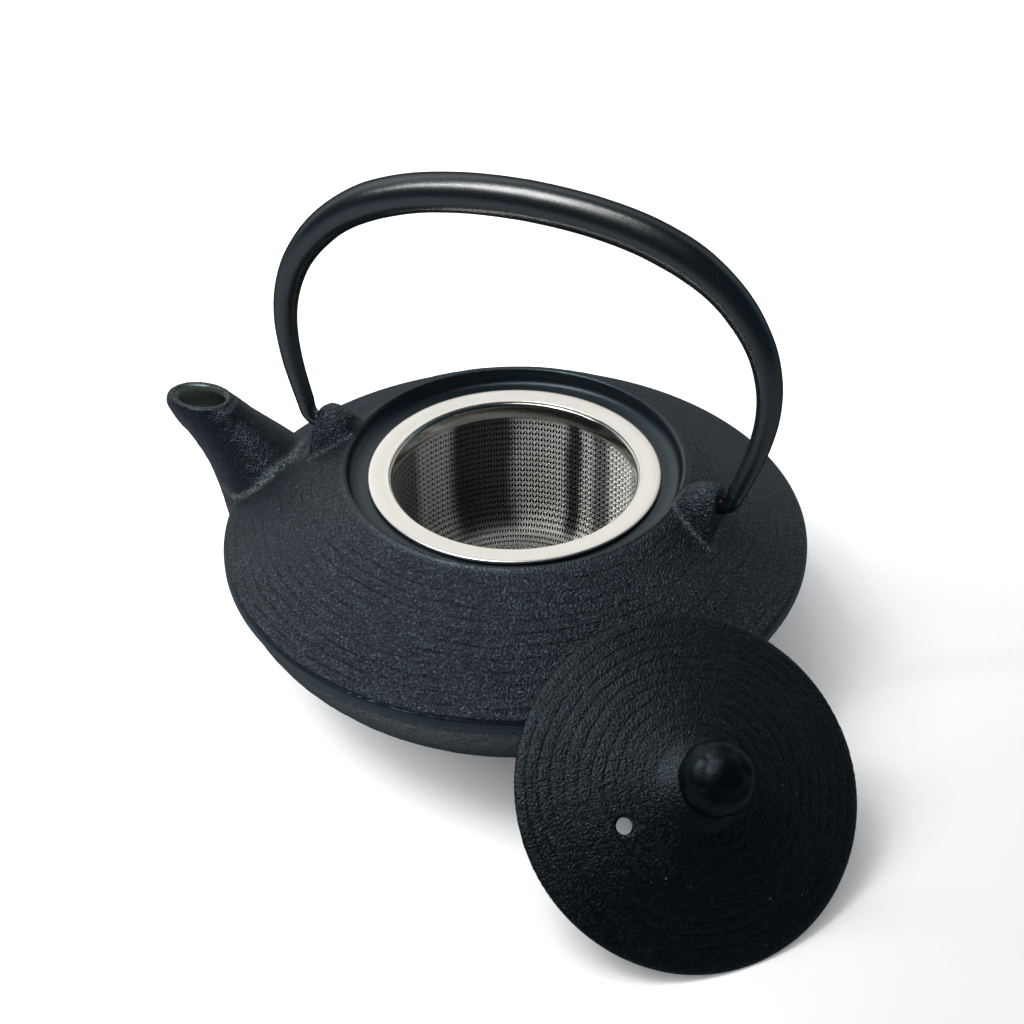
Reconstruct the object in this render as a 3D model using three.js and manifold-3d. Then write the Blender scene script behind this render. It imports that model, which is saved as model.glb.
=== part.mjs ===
// Small flat cast-iron teapot with a drop-in strainer, a lift-off lid and a swinging bail handle.
// Millimetres, +Z up. Origin: centre of the flat underside, on the table. The spout points to -X
// (left), the two handle lugs stand on the X axis, and the lid leans beside the pot towards +X -Y.
import * as THREE from 'three';
import { mergeVertices } from 'three/addons/utils/BufferGeometryUtils.js';
import Module from 'manifold-3d';

const wasm = await Module();
wasm.setup();
const { degToRad, mapLinear } = THREE.MathUtils;

// ---- driving dimensions: lengths in mm, angles in degrees ----------------------
const BAND_RADIUS = 72.6; // widest part of the pot
const BAND_BOTTOM = 34.1;
const BAND_TOP = 36.8;
const LIP_RADIUS = 41.5; // crest of the mouth lip
const LIP_HEIGHT = 57.5;
const RECESS_RADIUS = 40.95; // recess that takes the lid
const SEAT_HEIGHT = 53.3; // ledge under the strainer rim
const NECK_RADIUS = 33;
const FLOOR_TOP = 4.2; // inside bottom of the pot

const LUG_FACE = 52.3; // flat outward face of a lug, from the pot axis
const LUG_SINK = 2.3; // depth of a lug's foot below the pot's shoulder
const PIVOT_HEIGHT = 57.3;
const PIN_RADIUS = 1.9;
const PIN_CLEARANCE = 0.35; // around a pin in its hole
const PIN_TIP = 46.7; // inner end of a pin, from the pot axis
const PIN_END_GAP = 0.4; // between the pin tip and the end of its hole
const HANDLE_TILT = -8.3; // about X, negative leans to +Y
const TUBE_WALL = 1.0; // at most; thin ends use the share below
const TUBE_WALL_SHARE = 0.3; // of the outer radius
const TUBE_SEAM = 0.5; // open gap on the inside of the arch

const RIM_TOP = 54.4; // strainer rim
const RIM_OUTER = 36;
const RIM_INNER = 31;
const RIM_SHEET = 0.8;
const COLLAR = { inner: 30.0, outer: 30.35, bottom: 49.6, top: 53.3 };
const BASKET = { inner: 30.65, wall: 0.5, bottom: 14, top: 52.9, corner: 9 };

const LID_RADIUS = RECESS_RADIUS - 0.45;
const LID_CENTRE = new THREE.Vector3(66.25, -64.5, 26.85);
const LID_AZIMUTH = 45.08; // of the lid axis, from -Y towards +X
const LID_ELEVATION = 49.4; // of the lid axis above the table
const STEAM_HOLE = { x: -19.0, y: -3.0, z: 5, radius: 1.95 }; // z: middle of the cutter
const KNOB_PIVOT = 4.1; // height on the lid axis where the knob starts to lean
const KNOB_LEAN = -3; // about the lid's own Y axis

const CUTTER_LENGTH = 20; // of the cylinders that cut round holes

const SEGMENTS = {
  pot: 56, spout: 24, bore: 16, lugArch: 12, hole: 16,
  rim: 56, collar: 48, basket: 40, basketCorner: 4,
  lid: 48, knob: 20, washer: 20, tube: 11, hook: 14,
};

const FINISH = {
  pot: { color: 0x24272b, roughness: 0.72, metalness: 0.35 },
  rim: { color: 0xe6e1d8, roughness: 0.28, metalness: 1 },
  collar: { color: 0xcfccc4, roughness: 0.22, metalness: 1 },
  basket: { color: 0xb9b7b0, roughness: 0.35, metalness: 1 },
  lid: { color: 0x1b1d20, roughness: 0.75, metalness: 0.35 },
  knob: { color: 0x191b1e, roughness: 0.66, metalness: 0.35 },
  washer: { color: 0x1e2023, roughness: 0.6, metalness: 0.35 },
  tube: { color: 0x16181b, roughness: 0.38, metalness: 0.3 },
  hook: { color: 0x141618, roughness: 0.42, metalness: 0.4 },
};

// ---- closed meshes and solids ----------------------------------------------------
function signedVolume(position, index) {
  const corner = (k) => new THREE.Vector3().fromBufferAttribute(position, index[k]);
  let volume = 0;
  for (let k = 0; k < index.length; k += 3) {
    volume += corner(k).dot(corner(k + 1).cross(corner(k + 2))) / 6;
  }
  return volume;
}

// merged vertices, no collapsed triangles, faces pointing out
function closed(source) {
  const bare = source.clone();
  for (const name of Object.keys(bare.attributes)) {
    if (name !== 'position') bare.deleteAttribute(name);
  }
  const merged = mergeVertices(bare, 1e-4);
  const all = merged.index.array;
  const kept = [];
  for (let k = 0; k < all.length; k += 3) {
    const [a, b, c] = [all[k], all[k + 1], all[k + 2]];
    if (a !== b && b !== c && c !== a) kept.push(a, b, c);
  }
  if (signedVolume(merged.attributes.position, kept) < 0) {
    for (let k = 0; k < kept.length; k += 3) [kept[k], kept[k + 1]] = [kept[k + 1], kept[k]];
  }
  merged.setIndex(kept);
  merged.computeVertexNormals();
  return merged;
}

function indexedGeometry(coordinates, index) {
  const geometry = new THREE.BufferGeometry();
  geometry.setAttribute('position', new THREE.Float32BufferAttribute(coordinates, 3));
  geometry.setIndex(index);
  return geometry;
}

function toSolid(geometry) {
  const skin = closed(geometry);
  return new wasm.Manifold(new wasm.Mesh({
    numProp: 3,
    vertProperties: new Float32Array(skin.attributes.position.array),
    triVerts: new Uint32Array(skin.index.array),
  }));
}

function fromSolid(solid) {
  const mesh = solid.getMesh();
  return indexedGeometry(mesh.vertProperties, Array.from(mesh.triVerts));
}

function addMesh(parent, name, geometry, finish) {
  const mesh = new THREE.Mesh(closed(geometry), new THREE.MeshStandardMaterial(finish));
  mesh.name = name;
  parent.add(mesh);
}

// ---- shape helpers ---------------------------------------------------------------
// profile points [radius, z] turned about Z
function turned(profile, segments) {
  const points = profile.map(([radius, z]) => new THREE.Vector2(radius, z));
  return new THREE.LatheGeometry(points, segments).rotateX(Math.PI / 2);
}

// cylinder along Y, centred on the origin
function holeCutter(radius) {
  return new THREE.CylinderGeometry(radius, radius, CUTTER_LENGTH, SEGMENTS.hole);
}

// triangles over a ring, found in the ring's own plane so that hooked contours close too
function capTriangles(ring) {
  const middle = new THREE.Vector3();
  for (const point of ring) middle.addScaledVector(point, 1 / ring.length);
  const spokes = ring.map((point) => point.clone().sub(middle));
  const normal = new THREE.Vector3();
  spokes.forEach((spoke, k) => {
    normal.add(spoke.clone().cross(spokes[(k + 1) % spokes.length]));
  });
  normal.normalize();
  const across = spokes[0].clone().normalize();
  const up = normal.clone().cross(across);
  const flat = spokes.map((spoke) => new THREE.Vector2(spoke.dot(across), spoke.dot(up)));
  return THREE.ShapeUtils.triangulateShape(flat, []);
}

// closed skin over rings of equal point count, flat caps at both ends
function loft(rings) {
  const count = rings[0].length;
  const lastStart = (rings.length - 1) * count;
  const index = [];
  for (let start = 0; start < lastStart; start += count) {
    for (let k = 0; k < count; k++) {
      const a = start + k;
      const b = start + (k + 1) % count;
      index.push(a, b, b + count, a, b + count, a + count);
    }
  }
  for (const [a, b, c] of capTriangles(rings[0])) index.push(c, b, a);
  for (const [a, b, c] of capTriangles(rings.at(-1))) {
    index.push(lastStart + a, lastStart + b, lastStart + c);
  }
  return indexedGeometry(rings.flat().flatMap(({ x, y, z }) => [x, y, z]), index);
}

// point of an ellipse: half-length alongAxis on the unit axis, alongY on Y
function ellipsePoint(centre, axis, alongAxis, alongY, angle) {
  const point = centre.clone().addScaledVector(axis, alongAxis * Math.cos(angle));
  point.y += alongY * Math.sin(angle);
  return point;
}

function ellipse(centre, axis, alongAxis, alongY, count) {
  return Array.from({ length: count }, (_, k) => (
    ellipsePoint(centre, axis, alongAxis, alongY, (2 * Math.PI * k) / count)));
}

// ---- pot: one casting with spout and two lugs -------------------------------------
// shoulder from the lip out to the band: [radius, z]
const SHOULDER = [
  [41.9, 57.2], [44.5, 55.7], [47, 54.15], [52.4, 50.6],
  [58, 46.75], [63, 43.1], [68, 39.5], [72.3, 36.95],
];

// outside from the underside up; the mouth is closed here and opened by the cavity: [radius, z]
const POT_OUTSIDE = [
  [0, 0], [37.2, 0], [38, 0.5], [38.6, 2.1], [42, 3.2], [46, 4.9], [50, 7.2], [53.5, 9.6],
  [56.8, 12.15], [60.6, 15.6], [64, 19.3], [67, 23.4], [69.4, 27.8], [71.1, 32.1], [71.7, 33.9],
  [BAND_RADIUS, BAND_BOTTOM], [BAND_RADIUS, BAND_TOP - 0.2],
  ...SHOULDER.slice().reverse(),
  [LIP_RADIUS, LIP_HEIGHT], [40.5, 57.7], [0, 57.7],
];

// cavity from the floor up through neck, seat and lid recess: [radius, z]
const POT_CAVITY = [
  [0, FLOOR_TOP], [33, 4.6], [44.5, 8.6], [52.4, 13.2], [58.4, 18.5], [63.6, 24.8],
  [67.3, 31.4], [68.6, 34.6], [67.6, 36.4], [58, 43.3], [50.5, 48], [46, 49.9], [34, 49.9],
  [NECK_RADIUS, 50.6], [NECK_RADIUS, SEAT_HEIGHT], [38.4, SEAT_HEIGHT],
  [RECESS_RADIUS, 54.8], [RECESS_RADIUS, 57.1], [41.3, 57.5], [41.3, 62], [0, 62],
];

// spout and bore sections down from the mouth: [centre x, centre z, direction of the first axis
// in the XZ plane (degrees from +X towards +Z), half-length along it, half-length along Y]
const SPOUT = [
  [-86.1, 57.0, 180, 7.9, 5.6],
  [-86.1, 56.5, 181, 8.7, 6.2],
  [-86.0, 55.3, 186, 9.3, 6.6],
  [-84.5, 53.3, 199, 9.0, 6.9],
  [-82.0, 51.1, 212, 8.4, 7.4],
  [-79.2, 48.2, 219, 8.6, 8.3],
  [-76.2, 45.2, 222, 9.6, 9.4],
  [-73.4, 41.9, 224, 10.9, 10.8],
  [-70.6, 38.2, 225, 12.5, 12.6],
  [-67.4, 34.0, 226, 14.4, 14.9],
  [-63.6, 29.6, 226, 15.6, 16.6],
];
const BORE = [
  [-85.7, 58.4, 180, 6.6, 4.3],
  [-85.7, 57.0, 180, 6.4, 4.2],
  [-85.4, 55.4, 186, 6.1, 4.2],
  [-84.3, 52.9, 200, 6.0, 4.9],
  [-81.6, 50.4, 212, 5.6, 5.3],
  [-78.5, 47.6, 219, 5.8, 5.8],
  [-75.4, 44.4, 222, 6.3, 6.3],
  [-70.2, 38.2, 225, 7.2, 7.4],
  [-62.0, 29.0, 226, 8.0, 8.4],
];

// arched lug sections from the mouth lip out to the flat face:
// [distance from the pot axis, top z, half-width]
const LUG_RIGHT = [
  [41.2, 57.9, 1.8], [42.2, 59.2, 3.6], [43.6, 60.7, 5.1], [45.4, 62.0, 6.3],
  [47.6, 62.9, 7.2], [50, 63.2, 7.8], [LUG_FACE, 62.6, 8.0],
];
// the spout-side lug is rounder at its outer top edge
const LUG_LEFT = [
  [41.2, 57.7, 1.8], [42.2, 58.8, 3.6], [43.6, 60.2, 5.1], [45.4, 61.4, 6.3],
  [47.4, 62.2, 7.2], [49.4, 62.3, 7.9], [51.2, 61.4, 8.2], [LUG_FACE, 60.4, 8.1],
];
const LUG_SHAPE = { sidePower: 0.92, risePower: 0.85, topNarrowing: 0.26 };
const LUG_FOOT_START = 42.5; // nearer the axis, the foot stays at its height here

function spoutSolid(stations, segments) {
  return toSolid(loft(stations.map(([x, z, direction, alongAxis, alongY]) => {
    const angle = degToRad(direction);
    const axis = new THREE.Vector3(Math.cos(angle), 0, Math.sin(angle));
    return ellipse(new THREE.Vector3(x, 0, z), axis, alongAxis, alongY, segments);
  })));
}

function shoulderHeight(radius) {
  const k = SHOULDER.findIndex(([stationRadius]) => radius <= stationRadius);
  const [innerRadius, innerZ] = SHOULDER[k - 1];
  const [outerRadius, outerZ] = SHOULDER[k];
  return mapLinear(radius, innerRadius, outerRadius, innerZ, outerZ);
}

// side: 1 for +X, -1 for -X
function lugSolid(stations, side) {
  const { sidePower, risePower, topNarrowing } = LUG_SHAPE;
  return toSolid(loft(stations.map(([distance, top, halfWidth]) => {
    const foot = shoulderHeight(Math.max(distance, LUG_FOOT_START)) - LUG_SINK;
    return Array.from({ length: SEGMENTS.lugArch + 1 }, (_, k) => {
      const angle = Math.PI * (k / SEGMENTS.lugArch);
      const cosine = Math.cos(angle);
      const sine = Math.sin(angle);
      const sideways = Math.sign(cosine) * Math.abs(cosine) ** sidePower;
      const y = halfWidth * sideways * (1 - topNarrowing * sine);
      const z = foot + (top - foot) * sine ** risePower;
      return new THREE.Vector3(side * distance, side * y, z);
    });
  })));
}

function pinHole(side) {
  const cutter = holeCutter(PIN_RADIUS + PIN_CLEARANCE);
  cutter.rotateZ(Math.PI / 2);
  cutter.translate(side * (PIN_TIP - PIN_END_GAP + CUTTER_LENGTH / 2), 0, PIVOT_HEIGHT);
  return toSolid(cutter);
}

function addPot(parent) {
  const pot = toSolid(turned(POT_OUTSIDE, SEGMENTS.pot))
    .add(spoutSolid(SPOUT, SEGMENTS.spout))
    .add(lugSolid(LUG_RIGHT, 1))
    .add(lugSolid(LUG_LEFT, -1))
    .subtract(toSolid(turned(POT_CAVITY, SEGMENTS.pot)))
    .subtract(spoutSolid(BORE, SEGMENTS.bore))
    .subtract(pinHole(1))
    .subtract(pinHole(-1));
  addMesh(parent, 'pot_body', fromSolid(pot), FINISH.pot);
}

// ---- strainer: rim, collar, mesh cup -----------------------------------------------
// closed section of the rim: [radius, z]
const RIM_SECTION = [
  [RIM_INNER + 0.4, RIM_TOP + 0.1], [RIM_INNER, RIM_TOP - 0.3],
  [RIM_INNER + 0.25, RIM_TOP - RIM_SHEET], [RIM_OUTER - 0.3, RIM_TOP - RIM_SHEET],
  [RIM_OUTER, RIM_TOP - 0.45], [RIM_OUTER - 0.4, RIM_TOP], [RIM_INNER + 0.4, RIM_TOP + 0.1],
];

function collarSection() {
  const { inner, outer, bottom, top } = COLLAR;
  return [[inner, bottom], [outer, bottom], [outer, top], [inner, top], [inner, bottom]];
}

// drawn cup, open at the top: inner skin from the bottom up, then outer skin back down
function basketSection() {
  const { inner, wall, bottom, top, corner } = BASKET;
  const cornerArc = (radius) => (
    Array.from({ length: SEGMENTS.basketCorner + 1 }, (_, k) => {
      const angle = (Math.PI / 2) * (k / SEGMENTS.basketCorner);
      return [
        inner - corner + radius * Math.sin(angle),
        bottom + wall + corner - radius * Math.cos(angle),
      ];
    }));
  return [
    [0, bottom + wall],
    ...cornerArc(corner),
    [inner, top],
    [inner + wall, top],
    ...cornerArc(corner + wall).reverse(),
    [0, bottom],
  ];
}

function addInfuser(parent) {
  const infuser = new THREE.Group();
  parent.add(infuser);
  addMesh(infuser, 'infuser_rim', turned(RIM_SECTION, SEGMENTS.rim), FINISH.rim);
  addMesh(infuser, 'infuser_collar', turned(collarSection(), SEGMENTS.collar), FINISH.collar);
  addMesh(infuser, 'infuser_mesh', turned(basketSection(), SEGMENTS.basket), FINISH.basket);
}

// ---- lid, leaning with its rim on the table ------------------------------------------
// sections in the lid's own frame: [radius, height on the lid axis]
// centre boss, top face, rim, flange under the lid, underside
const LID_SECTION = [
  [2.7, 6.6], [2.7, 12.4], [5.0, 12.4], [6.4, 11.85], [8.2, 10.85], [9.8, 9.85], [11.2, 9.15],
  [14, 8.3], [20, 6.5], [32, 2.75], [38, 0.95], [40.1, 0.25], [LID_RADIUS, -0.2],
  [40.2, -0.8], [38.6, -1.7], [29.5, -1.7], [29.5, -5.0], [29.1, -5.4], [27.3, -5.4],
  [27, -5.0], [27, 0.6], [25, 1.9], [14, 5.2], [9, 6.3], [2.7, 6.6],
];
// rivet head, stem and knob
const KNOB_SECTION = [
  [0, 3.5], [2.6, 3.5], [3.3, 4.1], [3.2, 4.8], [1.9, 4.8], [1.9, 12.75], [4.5, 12.75],
  [4.8, 13.6], [5.8, 15.1], [7.4, 17], [8.3, 19.2], [8.45, 21.2], [7.9, 23.6], [6.3, 25.9],
  [3.6, 27.5], [0, 28.1],
];
const WASHER_SECTION = [[2.3, 5.1], [6.1, 5.1], [6.5, 5.5], [6.5, 6.25], [2.3, 6.25], [2.3, 5.1]];

// local Z on the lid axis, local X level
function placeLid(lid) {
  const azimuth = degToRad(LID_AZIMUTH);
  const elevation = degToRad(LID_ELEVATION);
  const zAxis = new THREE.Vector3(
    Math.cos(elevation) * Math.sin(azimuth),
    -Math.cos(elevation) * Math.cos(azimuth),
    Math.sin(elevation),
  );
  const xAxis = new THREE.Vector3(0, 0, 1).cross(zAxis).normalize();
  const yAxis = zAxis.clone().cross(xAxis);
  lid.quaternion.setFromRotationMatrix(new THREE.Matrix4().makeBasis(xAxis, yAxis, zAxis));
  lid.position.copy(LID_CENTRE);
}

function lidCasting() {
  const steamHole = holeCutter(STEAM_HOLE.radius);
  steamHole.rotateX(Math.PI / 2);
  steamHole.translate(STEAM_HOLE.x, STEAM_HOLE.y, STEAM_HOLE.z);
  return fromSolid(toSolid(turned(LID_SECTION, SEGMENTS.lid)).subtract(toSolid(steamHole)));
}

// the knob and its riveted stem lean a little off the lid's axis
function addKnob(lid) {
  const leaning = new THREE.Group();
  leaning.position.set(0, 0, KNOB_PIVOT);
  leaning.rotation.y = degToRad(KNOB_LEAN);
  lid.add(leaning);
  const knob = turned(KNOB_SECTION, SEGMENTS.knob).translate(0, 0, -KNOB_PIVOT);
  addMesh(leaning, 'lid_knob', knob, FINISH.knob);
}

function addLid(parent) {
  const lid = new THREE.Group();
  placeLid(lid);
  parent.add(lid);
  addMesh(lid, 'lid_casting', lidCasting(), FINISH.lid);
  addKnob(lid);
  addMesh(lid, 'lid_knob_washer', turned(WASHER_SECTION, SEGMENTS.washer), FINISH.washer);
}

// ---- bail handle: rolled tube and two plugged hook ends --------------------------------
// right half of the centre line from the apex down: [x, height above the pivots, tube diameter]
const ARCH = [
  [0, 68.1, 9.6], [7.55, 67.83, 9.6], [15.35, 67.17, 9.58], [23.6, 65.88, 9.58],
  [30.2, 64.28, 9.57], [36.9, 61.9, 9.5], [41.41, 59.75, 9.28], [45.76, 57.04, 8.76],
  [49.83, 53.77, 8.32], [53.43, 49.91, 7.97], [56.56, 45.59, 7.4], [59.06, 40.82, 6.97],
  [60.7, 35.7, 6.56], [61.55, 30.38, 6.13], [61.54, 25.0, 5.75], [60.8, 19.68, 5.4],
  [59.59, 14.49, 5.1], [57.98, 9.46, 4.75], [56.45, 5.2, 4.5],
];

// pin in the lug, bend, neck and a plug inside the tube end:
// [distance from the pot axis, height above the pivots, radius]
const HOOK = [
  [PIN_TIP, 0, PIN_RADIUS - 0.3], [PIN_TIP + 0.35, 0, PIN_RADIUS], [50, 0, PIN_RADIUS],
  [52.6, 0.02, PIN_RADIUS], [54.0, 0.45, 2.0], [55.1, 1.5, 2.1], [55.75, 2.9, 2.2],
  [56.22, 4.5, 2.24], [56.28, 4.72, 2.24], [56.35, 4.85, 1.1], [57.98, 9.46, 1.25],
  [59.3, 13.4, 1.35],
];

// rings square to a curve in the XZ plane through stations [x, z, size];
// along the arch from left to right the normal points to its inside
function ringsAlong(stations, makeRing) {
  return stations.map(([x, z, size], k) => {
    const [beforeX, beforeZ] = stations[Math.max(k - 1, 0)];
    const [afterX, afterZ] = stations[Math.min(k + 1, stations.length - 1)];
    const tangent = new THREE.Vector3(afterX - beforeX, 0, afterZ - beforeZ).normalize();
    const normal = new THREE.Vector3(tangent.z, 0, -tangent.x);
    return makeRing(new THREE.Vector3(x, 0, z), normal, size);
  });
}

// C-shaped contour: round the outside from one seam edge to the other, back round the inside
function tubeRing(centre, normal, diameter) {
  const outer = diameter / 2;
  const inner = outer - Math.min(TUBE_WALL, TUBE_WALL_SHARE * outer);
  const arc = (radius) => {
    const seamAngle = TUBE_SEAM / 2 / radius;
    const sweep = 2 * Math.PI - 2 * seamAngle;
    return Array.from({ length: SEGMENTS.tube + 1 }, (_, k) => (
      ellipsePoint(centre, normal, radius, radius, seamAngle + sweep * (k / SEGMENTS.tube))));
  };
  return [...arc(outer), ...arc(inner).reverse()];
}

function hookRing(centre, normal, radius) {
  return ellipse(centre, normal, radius, radius, SEGMENTS.hook);
}

function addHandle(parent) {
  const handle = new THREE.Group();
  handle.position.set(0, 0, PIVOT_HEIGHT);
  handle.rotation.x = degToRad(HANDLE_TILT);
  parent.add(handle);

  const leftHalf = ARCH.map(([x, z, diameter]) => [-x, z, diameter]).reverse();
  const arch = [...leftHalf, ...ARCH.slice(1)];
  addMesh(handle, 'handle_tube', loft(ringsAlong(arch, tubeRing)), FINISH.tube);

  for (const [name, side] of [['handle_hook_left', -1], ['handle_hook_right', 1]]) {
    const stations = HOOK.map(([distance, z, radius]) => [side * distance, z, radius]);
    addMesh(handle, name, loft(ringsAlong(stations, hookRing)), FINISH.hook);
  }
}

// ---- assembly --------------------------------------------------------------------------
const teapot = new THREE.Group();
teapot.name = 'teapot';
addPot(teapot);
addInfuser(teapot);
addLid(teapot);
addHandle(teapot);

export default teapot;
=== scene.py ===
"""Cast-iron teapot with its lid off, bail handle and strainer.

Lengths are in mm in the CAD frame and become metres when a mesh is made. The pot stands on
z = 0 round the Z axis, its spout towards -X. The handle arches from lug to lug along X and
leans towards +Y. The strainer hangs in the mouth. The lid lies tilted, off towards +X and -Y.
"""
import itertools
import math

import bmesh
import bpy
import numpy as np
import openvdb
from mathutils import Matrix, Vector


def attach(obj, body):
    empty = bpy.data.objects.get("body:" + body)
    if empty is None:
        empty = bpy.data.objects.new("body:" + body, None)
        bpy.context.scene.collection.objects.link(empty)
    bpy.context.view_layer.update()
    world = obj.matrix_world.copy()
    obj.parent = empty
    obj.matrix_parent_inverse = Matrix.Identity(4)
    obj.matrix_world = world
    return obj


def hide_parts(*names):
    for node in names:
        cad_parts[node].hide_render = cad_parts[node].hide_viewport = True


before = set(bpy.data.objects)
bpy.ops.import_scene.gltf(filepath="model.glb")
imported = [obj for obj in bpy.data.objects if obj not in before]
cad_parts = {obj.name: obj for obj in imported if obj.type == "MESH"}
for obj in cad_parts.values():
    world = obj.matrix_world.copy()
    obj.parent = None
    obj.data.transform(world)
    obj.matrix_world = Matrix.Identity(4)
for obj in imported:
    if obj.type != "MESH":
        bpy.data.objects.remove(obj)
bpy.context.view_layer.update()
MM = 0.001
Y_AXIS = np.array([0, 1.0, 0])

# ---------------------------------------------------------------- main dimensions
BAND_R, BAND_LOW, BAND_HIGH = 72.6, 34.1, 36.8  # belt round the widest part of the pot
PIVOT_Z = 57.3  # height of the pin holes
PIN_HOLE_R = 2.25
HANDLE_TILT = math.radians(-8.3)
RIM_TOP = 54.4  # top of the strainer flange
LID_R = 40.5
TENON_R = 2.7  # hole through the middle of the lid
LID_CENTRE = np.array([66.25, -64.5, 26.85])
LID_TURN, LID_RISE = math.radians(45.08), math.radians(49.4)  # where the lid's axis points
VIEW_TURN = math.radians(21.48)  # camera and lights are turned this far round Z


# ---------------------------------------------------------------- curves, noise and blends
def curve_through(points, per_span):
    """Catmull-Rom curve through the points, per_span points to each span."""
    given = np.asarray(points, float)
    ends = np.vstack([2 * given[0] - given[1], given, 2 * given[-1] - given[-2]])
    t = np.linspace(0, 1, per_span, endpoint=False)[:, None]
    spans = [
        0.5 * (2 * b + (c - a) * t + (2 * a - 5 * b + 4 * c - d) * t**2
               + (3 * b - a - 3 * c + d) * t**3)
        for a, b, c, d in zip(ends, ends[1:], ends[2:], ends[3:])]
    return np.vstack(spans + [given[-1:]])


def trilinear(cell, fraction, value_at):
    """Blend value_at(x, y, z) over the eight corners of each cell."""
    total = 0
    for corner in itertools.product((0, 1), repeat=3):
        weight = math.prod(f if up else 1 - f for f, up in zip(fraction.T, corner))
        total = total + weight * value_at(*(cell + corner).T)
    return total


def noise(points, size, seed):
    """Smooth value noise in -1..1, size in mm per cell."""
    def corner_value(x, y, z):
        mixed = (x * 73856093) ^ (y * 19349663) ^ (z * 83492791) ^ (seed * 2654435761)
        mixed = (mixed ^ (mixed >> 13)) * 1274126177
        mixed = mixed ^ (mixed >> 16)
        return (mixed & 0xFFFF).astype(np.float32) / 32767.5 - 1.0

    scaled = (points / size).astype(np.float32) + 1000.0
    cell = np.floor(scaled)
    part = scaled - cell
    return trilinear(cell.astype(np.int64), part * part * (3 - 2 * part), corner_value)


def waver(start, points, *layers):
    """start plus layers of noise, each (height, cell size in mm, seed)."""
    return sum((height * noise(points, size, seed) for height, size, seed in layers), start)


def fade(zero_at, one_at, x):
    """Smooth step from 0 to 1; zero_at may be the larger."""
    t = np.clip((x - zero_at) / (one_at - zero_at), 0, 1)
    return t * t * (3 - 2 * t)


def bell(x, centre, width):
    return np.exp(-((x - centre) / width) ** 2)


def union(a, b, fillet):
    """Distance field of two bodies together, rounded where they meet."""
    overlap = np.maximum(fillet - np.abs(a - b), 0) / fillet
    return np.minimum(a, b) - overlap * overlap * fillet * 0.25


def cut(body, tool, fillet):
    """Distance field of the body with the tool taken away."""
    return -union(-body, tool, fillet)


# ---------------------------------------------------------------- points and faces
def grid_faces(rows, columns, wrap_rows=False, wrap_columns=True):
    """Quads of a rows x columns point grid."""
    i = np.arange(rows if wrap_rows else rows - 1)[:, None]
    j = np.arange(columns if wrap_columns else columns - 1)[None, :]
    here, below = i * columns, (i + 1) % rows * columns
    beside = (j + 1) % columns
    corners = [here + j, here + beside, below + beside, below + j]
    return np.stack(corners, -1).reshape(-1, 4)


def lathe_points(profile, segments):
    """Turn a profile of (radius, z) points round the Z axis."""
    profile = np.asarray(profile, float)
    radius, height = profile[:, 0][:, None], profile[:, 1][:, None]
    angle = np.linspace(0, 2 * np.pi, segments, endpoint=False)
    z = np.repeat(height, segments, 1)
    return np.stack([radius * np.cos(angle), radius * np.sin(angle), z], -1).reshape(-1, 3)


def closed_lathe(profile, segments):
    """Ring-shaped skin; the profile is a closed loop, its first point not repeated."""
    return lathe_points(profile, segments), grid_faces(len(profile), segments, wrap_rows=True)


def axis_lathe(profile, segments):
    """The profile starts and ends on the axis; triangles close the two poles."""
    points = lathe_points(profile[1:-1], segments)
    rows = len(profile) - 2
    first = len(points)
    points = np.vstack([points, [[0, 0, profile[0][1]], [0, 0, profile[-1][1]]]])
    j = np.arange(segments)
    beside = (j + 1) % segments
    last_row = (rows - 1) * segments
    start = np.stack([np.full(segments, first), beside, j], -1)
    end = np.stack([np.full(segments, first + 1), last_row + j, last_row + beside], -1)
    return points, [grid_faces(rows, segments), np.vstack([start, end])]


def lofted(rings):
    """Closed triangle skin over equal rings, with capped ends."""
    count = len(rings[0])
    points = np.vstack(rings)
    quads = grid_faces(len(rings), count)
    triangles = [quads[:, [0, 1, 2]], quads[:, [0, 2, 3]]]
    k = np.arange(count)
    for ring, order in ((0, -1), (len(rings) - 1, 1)):
        base = ring * count
        fan = np.stack([np.full(count, len(points)), base + k, base + (k + 1) % count], -1)
        points = np.vstack([points, rings[ring].mean(0)[None]])
        triangles.append(fan[:, ::order])
    return points, np.vstack(triangles)


def ring_at(centre, direction, across, along_y):
    """Ring from its offsets along a direction and along Y."""
    return centre + across[:, None] * direction + along_y[:, None] * Y_AXIS


def elliptic_pipe(stations, per_span, count):
    """Stations: x, z, direction in XZ (degrees), half-width along it, half-width along Y."""
    angle = np.linspace(0, 2 * np.pi, count, endpoint=False)
    rings = []
    for x, z, degrees, across, along_y in curve_through(stations, per_span):
        turn = math.radians(degrees)
        direction = np.array([math.cos(turn), 0, math.sin(turn)])
        rings.append(ring_at(np.array([x, 0, z]), direction,
                             np.cos(angle) * across, np.sin(angle) * along_y))
    return lofted(rings)


# ---------------------------------------------------------------- distance fields
def polygon_distance(polygon, radius, z):
    """Signed distance, negative inside, from points (radius, z) to a closed polygon."""
    shape = radius.shape
    radius, z = radius.ravel(), z.ravel()
    nearest = np.full(radius.shape, 1e9)
    inside = np.zeros(radius.shape, bool)
    for start, end in zip(polygon, np.roll(polygon, -1, 0)):
        edge = end - start
        square = max(edge @ edge, 1e-12)
        t = np.clip(((radius - start[0]) * edge[0] + (z - start[1]) * edge[1]) / square, 0, 1)
        away_r, away_z = radius - start[0] - t * edge[0], z - start[1] - t * edge[1]
        nearest = np.minimum(nearest, away_r * away_r + away_z * away_z)
        if start[1] != end[1]:
            spans = (start[1] > z) != (end[1] > z)
            crossing = edge[0] * (z - start[1]) / edge[1] + start[0]
            inside ^= spans & (radius < crossing)
    distance = np.sqrt(nearest)
    distance[inside] *= -1
    return distance.reshape(shape)


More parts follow.
